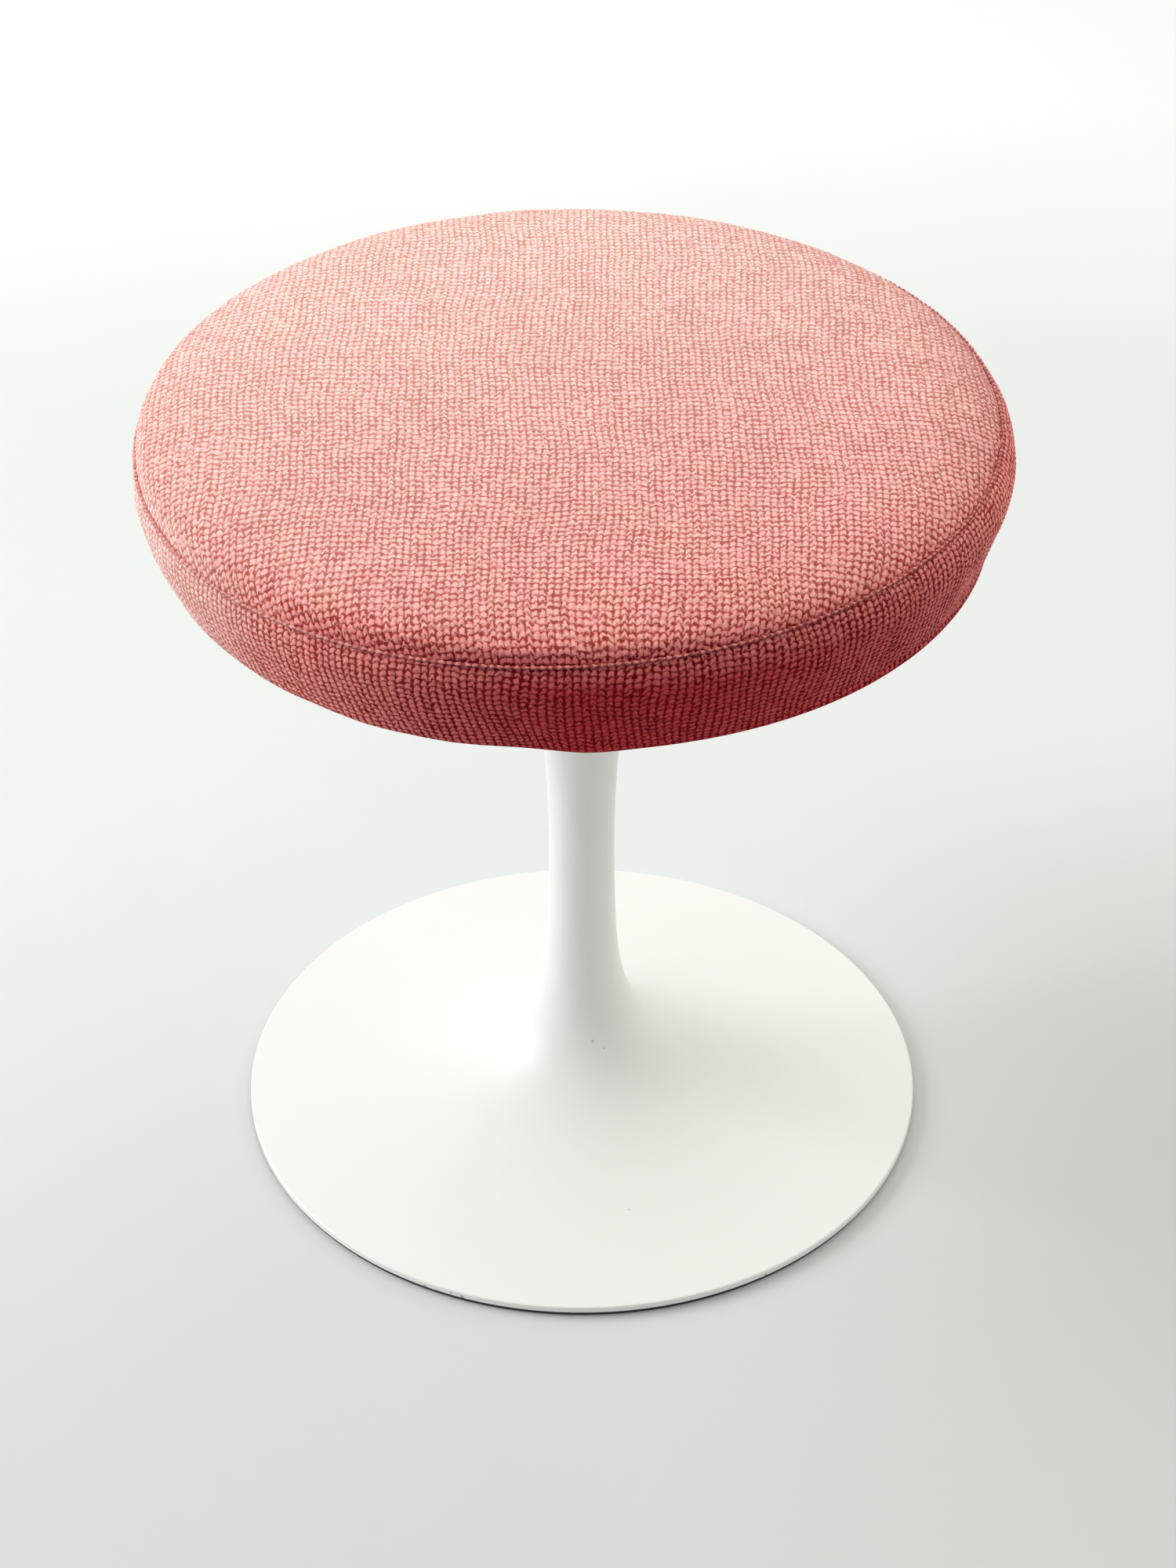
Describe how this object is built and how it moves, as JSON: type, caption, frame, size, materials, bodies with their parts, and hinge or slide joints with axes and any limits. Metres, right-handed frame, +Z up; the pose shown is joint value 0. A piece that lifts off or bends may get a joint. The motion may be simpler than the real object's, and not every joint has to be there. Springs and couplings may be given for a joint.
{
  "type": "stool",
  "caption": "Round stool on a slim cast trumpet pedestal, with a shallow moulded shell that turns on it and a boxed cloth cushion.",
  "frame": {"origin": "on the swivel axis, at the floor, which is the underside of the glide ring", "axes": "+Z up along the swivel axis, +X to the right and +Y away as the picture looks at the stool"},
  "size_m": [0.386, 0.386, 0.4018],
  "materials": {
    "white_enamel": "gloss",
    "black_vinyl": "matte",
    "acetal": "satin",
    "turned_steel": "polished",
    "zinc_steel": "satin",
    "black_steel": "satin",
    "cast_aluminium": "satin",
    "brass_insert": "satin",
    "white_moulding": "gloss",
    "white_hook_tape": "matte",
    "white_loop_tape": "matte",
    "birch_plywood": "matte",
    "foam": "matte",
    "coral_cloth": "matte",
    "black_lining": "matte",
    "staple_wire": "satin"
  },
  "bodies": {
    "base": {"pedestal": "white_enamel", "glide_ring": "black_vinyl", "upper_bush": "acetal", "lower_bush": "acetal", "thrust_washer": "acetal"},
    "seat": {"swivel_spindle": "turned_steel", "keeper_washer": "zinc_steel", "lock_washer": "zinc_steel", "retaining_screw": "black_steel", "swivel_plate": "cast_aluminium", "hub_pin": "zinc_steel", "plate_screws": "zinc_steel", "shell_inserts": "brass_insert", "seat_shell": "white_moulding", "hook_strips": "white_hook_tape", "loop_strips": "white_loop_tape", "seat_board": "birch_plywood", "foam_pad": "foam", "cover_top": "coral_cloth", "cover_band": "coral_cloth", "cover_seam": "coral_cloth", "dust_cover": "black_lining", "cover_staples": "staple_wire"}
  },
  "joints": [
    {"name": "seat_swivel", "type": "hinge", "parent": "base", "child": "seat", "pos_m": [0, 0, 0.2915], "axis": [0, 0, 1], "continuous": true}
  ]
}
